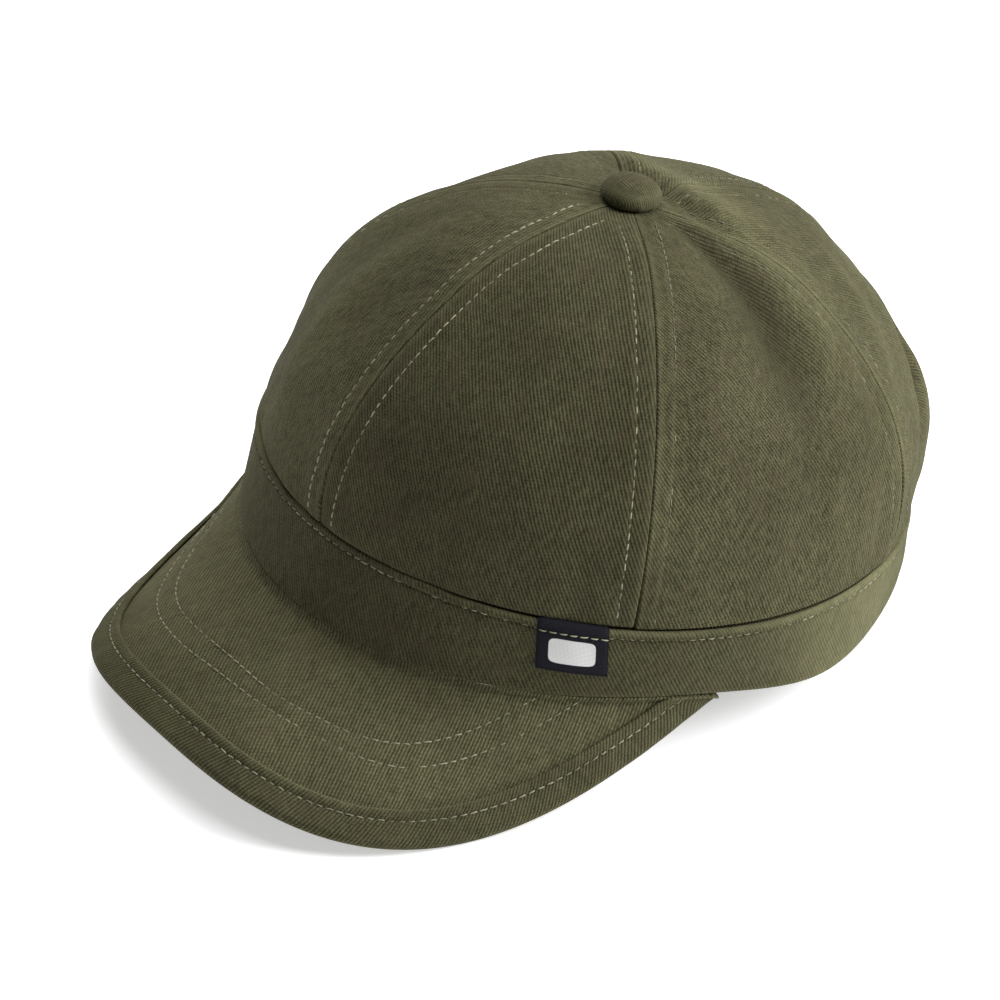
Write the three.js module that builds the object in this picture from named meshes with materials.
import * as THREE from 'three';

// A soft six-panel cloth cap with a folded band, a short bound peak, a covered top button and a small
// woven label. Millimetres. The cap is drawn upright in its own frame: the band's lower edge lies at
// z = 0, the front looks towards -Y and the wearer's left towards +X. It is then tipped back until the
// corners of the peak and the back of the band rest on the floor together. Angles run round the head
// in degrees, from the middle of the front towards the wearer's left.

// Driving dimensions: the oval of the band, and the crown over it
const bandTopHalfWidth = 93.0;
const bandTopHalfLength = 99.0;
const bandFootHalfWidth = 90.7;
const bandFootHalfLength = 103.8;
const bandWall = 2.0;
const bandSagDepth = 4.0;
const crownHeight = 105.3;
const apexAside = -0.8;
const apexForward = 1.0;
const apexRise = 0.8;
const crownWall = 1.4;
const crownHem = 1.0;
const foldDepth = 5.0;
const clearance = 0.3;

// Driving dimensions: the peak and the strip that binds its edge
const peakRootAngle = 80.7;
const peakReach = 43.2;
const peakFrontDrop = 30.6;
const peakRearSlope = 0.572;
const peakSquarePower = 2.68;
const peakArchPower = 2.52;
const peakRightTuck = 4.8;
const peakThickness = 1.8;
const peakBelly = 1.0;
const bindingWidth = 10.7;
const bindingCloth = 1.0;
const peakTipThinShare = 0.55;

// Driving dimensions: the top button, the label and how far soft edges flatten on the floor
const buttonDiameter = 17.6;
const buttonHeight = 7.2;
const buttonRim = 1.75;
const buttonStemRadius = 1.6;
const buttonPlateRadius = 6.0;
const buttonPlateThickness = 1.2;
const labelWidth = 19.6;
const labelHeight = 14.4;
const labelAngle = 50.9;
const labelSlant = 14.6;
const labelTape = 1.0;
const bandPress = 0.8;
const peakPress = 0.3;

// Shape of band and crown at the front, side and back. The band height is in millimetres, belly is how
// far the crown swells over the band as a share of its radius, round squares or points the plan of a
// rib, and rise does so for its height.
const zones = [
  { zone: 'front', bandHeight: 25.0, round: 0.681, rise: 1.322, belly: 0.061 },
  { zone: 'side', bandHeight: 21.3, round: 0.790, rise: 1.008, belly: 0.020 },
  { zone: 'back', bandHeight: 21.5, round: 0.476, rise: 1.485, belly: 0.145 },
];

// Each panel is flatter across than the round of the head: a share at its foot and at its tip
const panelFlatness = { foot: 0.127, tip: 0.191 };
const bellyShare = 0.62;

// Where the band's lower edge sags and flares out, as shares of the sag depth
const bandSags = [
  { at: 99, wide: 17, drop: 1.0, flare: 0.66 },
  { at: -101, wide: 19, drop: 0.6, flare: 0.50 },
];

// Soft folds and dents of the crown. up is the place between the band (0) and the button (1), wide is
// in degrees round the head, tall is a share of the height, lean is degrees for each unit of up, and
// out is a share of the fold depth, with dents below zero.
const crownFolds = [
  { name: 'front right hollow', at: -46, up: 0.16, wide: 12, tall: 0.10, lean: 0, out: -0.20 },
  { name: 'front right ridge', at: -26, up: 0.30, wide: 7, tall: 0.22, lean: -20, out: 0.22 },
  { name: 'front right crease', at: -38, up: 0.34, wide: 6, tall: 0.20, lean: -20, out: -0.18 },
  { name: 'right shoulder', at: -64, up: 0.36, wide: 14, tall: 0.16, lean: 0, out: 0.16 },
  { name: 'right crown dent', at: -82, up: 0.48, wide: 14, tall: 0.12, lean: 0, out: -0.66 },
  { name: 'left side valley', at: 98, up: 0.56, wide: 7, tall: 0.28, lean: 14, out: -0.60 },
  { name: 'left side ridge', at: 114, up: 0.58, wide: 7, tall: 0.24, lean: 10, out: 0.32 },
  { name: 'left front ridge', at: 79, up: 0.50, wide: 9, tall: 0.22, lean: 10, out: 0.14 },
  { name: 'back left valley', at: 159, up: 0.265, wide: 14, tall: 0.055, lean: 0, out: -0.62 },
  { name: 'back left roll', at: 147, up: 0.33, wide: 8, tall: 0.09, lean: 0, out: 0.12 },
  { name: 'back left ridge', at: 142, up: 0.45, wide: 5, tall: 0.13, lean: 110, out: 0.18 },
  { name: 'back top ridge', at: 176, up: 0.80, wide: 40, tall: 0.05, lean: 0, out: 0.24 },
  { name: 'back top dip', at: 178, up: 0.58, wide: 30, tall: 0.12, lean: 0, out: -0.28 },
  { name: 'back right swell', at: -146, up: 0.50, wide: 16, tall: 0.12, lean: 0, out: 0.12 },
];

// Section of the band from its lower edge to its folded top. inset is a share of the wall, up a share
// of the height, and lift a share of the wall added to the height.
const bandSection = [
  { inset: 0.20, up: 0.0, lift: 0.0 },
  { inset: 0.00, up: 0.0, lift: 0.2 },
  { inset: 0.00, up: 0.5, lift: 0.0 },
  { inset: 0.00, up: 1.0, lift: -0.5 },
  { inset: 0.15, up: 1.0, lift: -0.15 },
  { inset: 0.35, up: 1.0, lift: 0.0 },
];

// Fineness of the faceted surfaces
const panelCount = 6;
const panelColumns = 10;
const panelRows = 16;
const hemRows = 2;
const bandSegments = 84;
const peakStations = 36;
const peakColumns = 7;
const peakEndShare = 0.985;
const buttonSides = 28;
const labelColumns = 6;
const labelBends = 3;

const panelNames = [
  'panel_front_left', 'panel_side_left', 'panel_back_left',
  'panel_back_right', 'panel_side_right', 'panel_front_right',
];
const crownInset = bandWall + clearance;
const wallStack = crownInset + crownWall;
const panelSpan = 2 * Math.PI / panelCount;
const radians = THREE.MathUtils.degToRad;

// How much of the front, side and back zone counts at an angle; the three add up to one
function shaped(column, angle) {
  const ahead = Math.cos(angle);
  const weights = [Math.max(ahead, 0) ** 2, Math.sin(angle) ** 2, Math.max(-ahead, 0) ** 2];
  return zones.reduce((sum, row, k) => sum + weights[k] * row[column], 0);
}

function anglesApart(angle, degrees) {
  const turn = THREE.MathUtils.radToDeg(angle) - degrees;
  return THREE.MathUtils.euclideanModulo(turn + 180, 360) - 180;
}

function bandSag(column, angle) {
  const share = bandSags.reduce(
    (sum, sag) => sum + sag[column] * Math.exp(-((anglesApart(angle, sag.at) / sag.wide) ** 2)), 0);
  return bandSagDepth * share;
}

// A point of the band's section at an angle: inset from its outer face, and up from its lower edge
function bandPoint(angle, inset, up) {
  const s = Math.sin(angle);
  const c = Math.cos(angle);
  const out = new THREE.Vector3(s / bandTopHalfWidth, -c / bandTopHalfLength, 0).normalize();
  const foot = new THREE.Vector3(bandFootHalfWidth * s, -bandFootHalfLength * c, -bandSag('drop', angle));
  foot.addScaledVector(out, bandSag('flare', angle));
  const top = new THREE.Vector3(bandTopHalfWidth * s, -bandTopHalfLength * c, shaped('bandHeight', angle));
  const rise = top.clone().sub(foot);
  const height = rise.length();
  rise.normalize();
  out.addScaledVector(rise, -out.dot(rise)).normalize();
  return { point: foot.addScaledVector(rise, up).addScaledVector(out, -inset), height };
}

function bandHeight(angle) {
  return bandPoint(angle, 0, 0).height;
}

// The crown's outer face before its folds, from the band's top (share 0) to the button (share 1)
function crownSurface(angle, share, flatness) {
  const foot = bandPoint(angle, crownInset, bandHeight(angle)).point;
  const round = shaped('round', angle);
  const turn = (Math.PI / 2) * (1 - (1 - share) ** (1 / round));
  const climbed = turn / (Math.PI / 2);
  const belly = shaped('belly', angle) * Math.sin(Math.PI * Math.min(climbed / bellyShare, 1));
  const across = THREE.MathUtils.euclideanModulo(angle, panelSpan) - panelSpan / 2;
  const cut = 1 - Math.cos(panelSpan / 2) / Math.cos(across);
  const reach = Math.cos(turn) ** round * (1 + belly) * (1 - flatness * cut);
  const lift = Math.sin(turn) ** shaped('rise', angle);
  const shift = THREE.MathUtils.smoothstep(share, 0.75, 0.95);
  return new THREE.Vector3(
    foot.x * reach + apexAside * shift,
    foot.y * reach - apexForward * shift,
    foot.z + (crownHeight - foot.z) * lift + apexRise * shift);
}

function panelFlat(share) {
  const growth = Math.min(8 * share, 1);
  return growth * THREE.MathUtils.lerp(panelFlatness.foot, panelFlatness.tip, share);
}

// The outward direction of the crown, smooth across the seams
function crownNormal(angle, share) {
  const step = 0.004;
  const at = THREE.MathUtils.clamp(share, step, 0.94);
  const around = crownSurface(angle + step, at, 0).sub(crownSurface(angle - step, at, 0));
  const upward = crownSurface(angle, at + step, 0).sub(crownSurface(angle, at - step, 0));
  return around.cross(upward).normalize();
}

function foldHeight(angle, share) {
  const fromBand = THREE.MathUtils.smoothstep(share, 0.02, 0.12);
  const fromButton = 1 - THREE.MathUtils.smoothstep(share, 0.84, 0.92);
  const folded = crownFolds.reduce((sum, fold) => {
    const aside = anglesApart(angle, fold.at + fold.lean * (share - fold.up)) / fold.wide;
    const above = (share - fold.up) / fold.tall;
    return sum + fold.out * Math.exp(-(aside ** 2) - above ** 2);
  }, 0);
  return foldDepth * folded * fromBand * fromButton;
}

function crownPoint(angle, share, depth) {
  const surface = crownSurface(angle, share, panelFlat(share));
  return surface.addScaledVector(crownNormal(angle, share), foldHeight(angle, share) - depth);
}

// The share at which a rib reaches the hole that the button's stem goes through
function tipShare(angle) {
  const round = shaped('round', angle);
  const foot = bandPoint(angle, crownInset, 0).point;
  const radius = Math.hypot(foot.x, foot.y);
  return 1 - (buttonStemRadius + clearance) / (radius * (Math.PI / 2) ** round);
}

// A closed wall between an outer and an inner face, lofted through its stations
function wallGeometry(stations, looped) {
  const rings = stations.map(({ outer, inner }) => [...outer, ...[...inner].reverse()]);
  const size = rings[0].length;
  const faces = [];
  const quad = (a, b, c, d) => faces.push(a, b, c, a, c, d);
  const last = looped ? rings.length : rings.length - 1;
  for (let i = 0; i < last; i += 1) {
    const here = i * size;
    const there = ((i + 1) % rings.length) * size;
    for (let j = 0; j < size; j += 1) {
      const k = (j + 1) % size;
      quad(here + j, there + j, there + k, here + k);
    }
  }
  if (!looped) {
    const end = (rings.length - 1) * size;
    for (let j = 0; j < size / 2 - 1; j += 1) {
      quad(j, j + 1, size - 2 - j, size - 1 - j);
      quad(end + j, end + size - 1 - j, end + size - 2 - j, end + j + 1);
    }
  }
  const points = rings.flat();
  if (enclosedVolume(points, faces) < 0) faces.reverse();
  const geometry = new THREE.BufferGeometry().setFromPoints(points);
  geometry.setIndex(faces);
  geometry.computeVertexNormals();
  return geometry;
}

function enclosedVolume(points, faces) {
  let volume = 0;
  for (let i = 0; i < faces.length; i += 3) {
    const [a, b, c] = [points[faces[i]], points[faces[i + 1]], points[faces[i + 2]]];
    volume += a.dot(b.clone().cross(c)) / 6;
  }
  return volume;
}

// One crown panel between two seams. Its foot goes down inside the band to just above the lower edge.
function panelStations(index) {
  const seam = index * panelSpan;
  const stations = [];
  const addRow = (pointAt, radius) => {
    const trim = clearance / 2 / radius;
    const outer = [];
    const inner = [];
    for (let i = 0; i <= panelColumns; i += 1) {
      const angle = seam + trim + (panelSpan - 2 * trim) * i / panelColumns;
      outer.push(pointAt(angle, 0));
      inner.push(pointAt(angle, crownWall));
    }
    stations.push({ outer, inner });
  };
  for (let row = 0; row <= hemRows; row += 1) {
    const inBand = (angle, depth) => {
      const up = THREE.MathUtils.lerp(crownHem, bandHeight(angle), row / hemRows);
      return bandPoint(angle, crownInset + depth, up).point;
    };
    addRow(inBand, bandFootHalfWidth);
  }
  for (let row = 1; row <= panelRows; row += 1) {
    const climb = row / panelRows;
    const onCrown = (angle, depth) => crownPoint(angle, tipShare(angle) * climb, depth);
    const middle = onCrown(seam + panelSpan / 2, 0);
    addRow(onCrown, Math.hypot(middle.x, middle.y));
  }
  return stations;
}

// The band: one loop round the head, folded at its top
function bandStations() {
  return Array.from({ length: bandSegments }, (_, i) => {
    const angle = Math.PI + (2 * Math.PI * i) / bandSegments;
    const height = bandHeight(angle);
    const place = (row, mirrored) => {
      const inset = mirrored ? 1 - row.inset : row.inset;
      return bandPoint(angle, inset * bandWall, row.up * height + row.lift * bandWall).point;
    };
    return {
      outer: bandSection.map((row) => place(row, false)),
      inner: bandSection.map((row) => place(row, true)),
    };
  });
}

// The peak's outer edge, as bound: a squared oval in plan, arched down towards its corners and rising
// back to the band, where it ends under the middle of the walls that it is sewn to. Its right side is
// drawn in, straighter than its left
const peakSeatRise = peakThickness / 4;
const peakCorner = bandPoint(radians(peakRootAngle), wallStack, 0).point;
peakCorner.z -= clearance + peakSeatRise;
const peakFront = bandFootHalfLength + peakReach;
const peakSpan = peakFront + peakCorner.y;
const peakArch = peakRearSlope * peakSpan - peakFrontDrop - peakCorner.z;

function peakEdgePoint(turn) {
  const s = Math.sin(turn);
  const c = Math.cos(turn);
  const x = peakCorner.x * Math.sign(s) * Math.abs(s) ** (2 / peakSquarePower);
  const back = peakSpan * (1 - Math.abs(c) ** (2 / peakSquarePower));
  const arch = peakArch * Math.abs(x / peakCorner.x) ** peakArchPower;
  const right = Math.max(-x / peakCorner.x, 0);
  const drawn = THREE.MathUtils.smoothstep(right, 0.3, 0.92) * (1 - THREE.MathUtils.smoothstep(right, 0.96, 1));
  return new THREE.Vector3(
    x + peakRightTuck * drawn, back - peakFront, -peakFrontDrop + peakRearSlope * back - arch);
}

const edgeSamples = 160;
const peakEdge = new THREE.CatmullRomCurve3(
  Array.from({ length: edgeSamples + 1 }, (_, i) => peakEdgePoint(Math.PI * (i / edgeSamples - 0.5))));
peakEdge.arcLengthDivisions = 1200;

// Where the peak is sewn under the band: along runs from -1 at the right corner to 1 at the left
function peakRoot(along, seat) {
  const angle = radians(peakRootAngle) * (0.8 * along + 0.2 * along ** 5);
  const root = bandPoint(angle, wallStack / 2, 0).point;
  root.z -= clearance + seat;
  return root;
}

function peakMiddle(along, across, seat) {
  const root = peakRoot(along, seat);
  const rim = peakEdge.getPointAt((along + 1) / 2);
  return root.lerp(rim, across);
}

function peakNormal(along, across, seat) {
  const step = 0.01;
  const at = THREE.MathUtils.clamp(along, step - 1, 1 - step);
  const outward = peakMiddle(at, across + step, seat).sub(peakMiddle(at, across - step, seat));
  const sideways = peakMiddle(at + step, across, seat).sub(peakMiddle(at - step, across, seat));
  return outward.cross(sideways).normalize();
}

// Towards its corners the peak and its binding are pressed thin in the seam under the band
function pressedShare(along) {
  return 1 - peakTipThinShare * THREE.MathUtils.smoothstep(Math.abs(along), 0.84, peakEndShare);
}

function plateHalf(along) {
  return (peakThickness / 2) * pressedShare(along);
}

function bindingInner(along) {
  return plateHalf(along) + clearance;
}

function bindingOuter(along) {
  return bindingInner(along) + bindingCloth * pressedShare(along);
}

// A point of the peak: across runs from the seam under the band (0) to the bound edge (1), and offset
// is measured off the middle of its thickness
function peakPoint(along, across, offset) {
  const seat = plateHalf(along) * Math.abs(peakNormal(along, 0, plateHalf(along)).z);
  const normal = peakNormal(along, across, seat);
  const swell = peakBelly * Math.sin(Math.PI * across) * (1 - along * along);
  return peakMiddle(along, across, seat).addScaledVector(normal, offset + swell);
}

function peakLength(along) {
  return peakPoint(along, 0, 0).distanceTo(peakPoint(along, 1, 0));
}

// Stations across the peak, twice as close at its corners as in its middle
function peakAlongs() {
  return Array.from({ length: peakStations + 1 }, (_, i) => {
    const t = 2 * i / peakStations - 1;
    return peakEndShare * (1.25 * t - 0.25 * t ** 3);
  });
}

function peakPlateStations() {
  return peakAlongs().map((along) => {
    const reach = 1 - bindingOuter(along) / peakLength(along);
    const chain = (offset) => Array.from({ length: peakColumns + 1 },
      (_, j) => peakPoint(along, reach * j / peakColumns, offset));
    return { outer: chain(plateHalf(along)), inner: chain(-plateHalf(along)) };
  });
}

// The binding: a folded strip round the peak's edge, the same width above and below
function bindingStations() {
  const noseTurns = [90, 45, 0, -45, -90].map(radians);
  return peakAlongs().map((along) => {
    const length = peakLength(along);
    const round = bindingOuter(along);
    const step = 0.01;
    const ruled = peakPoint(along, 1, 0).sub(peakPoint(along, 0, 0)).normalize();
    const edge = peakPoint(along + step, 1, 0).sub(peakPoint(along - step, 1, 0)).normalize();
    const skew = Math.max(ruled.cross(edge).length(), 0.5);
    const width = Math.min(bindingWidth / skew, length - round);
    const chain = (half) => {
      const nose = noseTurns.map((turn) => [round - half * Math.cos(turn), half * Math.sin(turn)]);
      const lengthwise = [width, (width + round) / 2];
      const above = lengthwise.map((inward) => [inward, half]);
      const below = [...lengthwise].reverse().map((inward) => [inward, -half]);
      return [...above, ...nose, ...below].map(
        ([inward, offset]) => peakPoint(along, 1 - inward / length, offset));
    };
    return { outer: chain(round), inner: chain(bindingInner(along)) };
  });
}

// The label: a short tape that hangs down the band's face and folds over the band's top
function labelStations() {
  const middle = radians(labelAngle);
  const perRadian = bandPoint(middle + 0.5, 0, 0).point.distanceTo(bandPoint(middle - 0.5, 0, 0).point);
  const halfSpan = labelWidth / 2 / perRadian;
  const slant = Math.tan(radians(labelSlant)) / perRadian;
  const bendRadius = bandWall / 2;
  return Array.from({ length: labelColumns + 1 }, (_, i) => {
    const angle = middle + halfSpan * (2 * i / labelColumns - 1);
    const height = bandHeight(angle);
    const chain = (offset) => {
      const drop = [height - labelHeight, height - labelHeight / 2].map((up) => [-offset, up]);
      const bend = Array.from({ length: labelBends + 1 }, (_, k) => {
        const turn = (Math.PI / 2) * (k / labelBends);
        const radius = bendRadius + offset;
        return [bendRadius - radius * Math.cos(turn), height - bendRadius + radius * Math.sin(turn)];
      });
      return [...drop, ...bend].map(([inset, up]) => {
        const down = height - up - labelHeight / 2;
        return bandPoint(angle + slant * down, inset, up).point;
      });
    };
    return { outer: chain(clearance + labelTape), inner: chain(clearance) };
  });
}

// The covered button: a dome over the seams' meeting point, a stem and a plate inside the crown
function buttonGeometry() {
  const radius = buttonDiameter / 2;
  const rim = buttonRim;
  const dome = Array.from({ length: 7 }, (_, k) => {
    const turn = (Math.PI / 2) * (1 - k / 6);
    return new THREE.Vector2(radius * Math.cos(turn), clearance + rim + (buttonHeight - rim) * Math.sin(turn));
  });
  dome[0].x = 0;
  const plateTop = -crownWall - clearance;
  const profile = [
    ...dome,
    new THREE.Vector2(radius - rim * 0.3, clearance + rim * 0.3),
    new THREE.Vector2(radius - rim, clearance),
    new THREE.Vector2(buttonStemRadius, clearance),
    new THREE.Vector2(buttonStemRadius, plateTop),
    new THREE.Vector2(buttonPlateRadius, plateTop),
    new THREE.Vector2(buttonPlateRadius, plateTop - buttonPlateThickness),
    new THREE.Vector2(0, plateTop - buttonPlateThickness),
  ];
  return new THREE.LatheGeometry(profile.reverse(), buttonSides).rotateX(Math.PI / 2);
}

// How the cap rests: tipped back until the peak's corners and the back of the band are level
function lowest(stations, tilt) {
  const heights = stations.flatMap(({ outer, inner }) => [...outer, ...inner])
    .map((p) => p.z * Math.cos(tilt) - p.y * Math.sin(tilt));
  return Math.min(...heights);
}

function restingTilt(band, binding) {
  let low = 0;
  let high = radians(40);
  for (let round = 0; round < 50; round += 1) {
    const tilt = (low + high) / 2;
    const bandIsHigher = lowest(band, tilt) + bandPress > lowest(binding, tilt) + peakPress;
    if (bandIsHigher) low = tilt;
    else high = tilt;
  }
  return (low + high) / 2;
}

function pressFlat(stations, tilt, floor) {
  for (const { outer, inner } of stations) {
    for (const point of [...outer, ...inner]) {
      const along = point.y * Math.cos(tilt) + point.z * Math.sin(tilt);
      const height = Math.max(point.z * Math.cos(tilt) - point.y * Math.sin(tilt), floor);
      point.y = along * Math.cos(tilt) - height * Math.sin(tilt);
      point.z = along * Math.sin(tilt) + height * Math.cos(tilt);
    }
  }
}

const oliveTwill = { color: 0x48452f, roughness: 0.95, metalness: 0.0 };
const bindingTwill = { color: 0x454331, roughness: 0.95, metalness: 0.0 };
const labelWeave = { color: 0x14151a, roughness: 0.8, metalness: 0.0 };

const cap = new THREE.Group();

function addPiece(name, geometry, finish) {
  const piece = new THREE.Mesh(geometry, new THREE.MeshStandardMaterial({ ...finish }));
  piece.name = name;
  cap.add(piece);
  return piece;
}

const band = bandStations();
const binding = bindingStations();
const tilt = restingTilt(band, binding);
const floor = lowest(band, tilt) + bandPress;
pressFlat(band, tilt, floor);
pressFlat(binding, tilt, floor);

panelNames.forEach((name, index) => {
  addPiece(name, wallGeometry(panelStations(index), false), oliveTwill);
});
addPiece('band', wallGeometry(band, true), oliveTwill);
addPiece('peak', wallGeometry(peakPlateStations(), false), oliveTwill);
addPiece('peak_binding', wallGeometry(binding, false), bindingTwill);
addPiece('button', buttonGeometry(), oliveTwill).position.set(apexAside, -apexForward, crownHeight + apexRise);
addPiece('label', wallGeometry(labelStations(), false), labelWeave);

// Stand the tipped cap on the floor, with the origin under the middle of its box
cap.rotation.x = -tilt;
cap.updateMatrixWorld(true);
const extent = new THREE.Box3().setFromObject(cap, true);
const middle = extent.getCenter(new THREE.Vector3());
cap.position.set(-middle.x, -middle.y, -extent.min.z);

const part = new THREE.Group();
part.add(cap);
part.updateMatrixWorld(true);

export default part;
